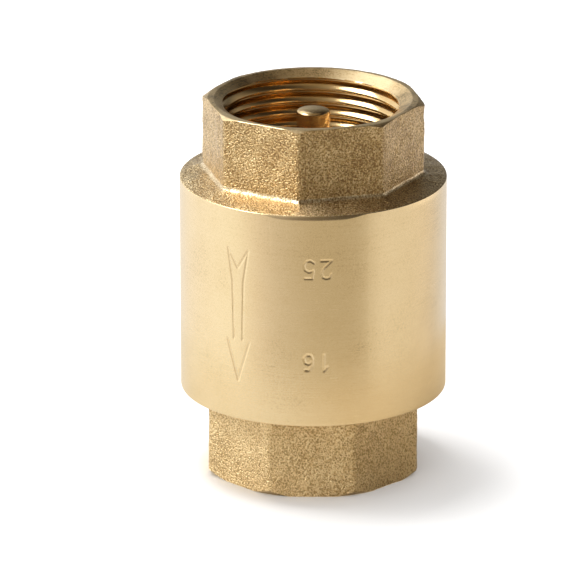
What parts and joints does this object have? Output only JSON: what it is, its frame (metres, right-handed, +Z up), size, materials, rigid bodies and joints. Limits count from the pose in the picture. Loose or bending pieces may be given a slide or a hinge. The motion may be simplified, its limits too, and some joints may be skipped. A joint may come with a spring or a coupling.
{
  "type": "check valve",
  "caption": "In-line brass spring check valve: a barrel with an octagon and a parallel pipe thread at each end, and a sprung poppet inside that lets water through one way.",
  "frame": {"origin": "on the valve's axis, at the end face of the outlet socket that it stands on", "axes": "+Z up the valve's axis from the outlet to the inlet, against the flow; -Y towards the viewer of the side with the flow arrow; +X to that viewer's right"},
  "size_m": [0.0474, 0.0474, 0.0685],
  "materials": {
    "body": "turned barrel, shot-blasted forging on the octagon and shoulder",
    "end_connector": "shot-blasted forging, turned shank",
    "body_o_ring": "matt black nitrile rubber",
    "inlet_guide": "turned and drilled brass",
    "inlet_guide_bush": "off-white acetal",
    "outlet_guide": "turned and drilled brass",
    "outlet_guide_bush": "off-white acetal",
    "spring_seat": "stainless washer",
    "spring": "drawn stainless wire",
    "stem": "turned brass",
    "seal_retainer": "turned brass",
    "disc_seal": "matt black nitrile rubber",
    "disc": "turned brass",
    "lock_washer": "stainless washer",
    "disc_nut": "turned brass"
  },
  "bodies": {
    "valve_body": {"body": "body", "end_connector": "end_connector", "body_o_ring": "body_o_ring", "inlet_guide": "inlet_guide", "inlet_guide_bush": "inlet_guide_bush", "outlet_guide": "outlet_guide", "outlet_guide_bush": "outlet_guide_bush", "spring_seat": "spring_seat", "spring": "spring"},
    "poppet": {"stem": "stem", "seal_retainer": "seal_retainer", "disc_seal": "disc_seal", "disc": "disc", "lock_washer": "lock_washer", "disc_nut": "disc_nut"}
  },
  "joints": [
    {"name": "poppet_slide", "type": "slide", "parent": "valve_body", "child": "poppet", "axis": [0, 0, -1], "range_m": [0, 0.007], "stiffness_N_per_m": 250, "springref_m": -0.0052, "deforming": ["spring"]}
  ]
}
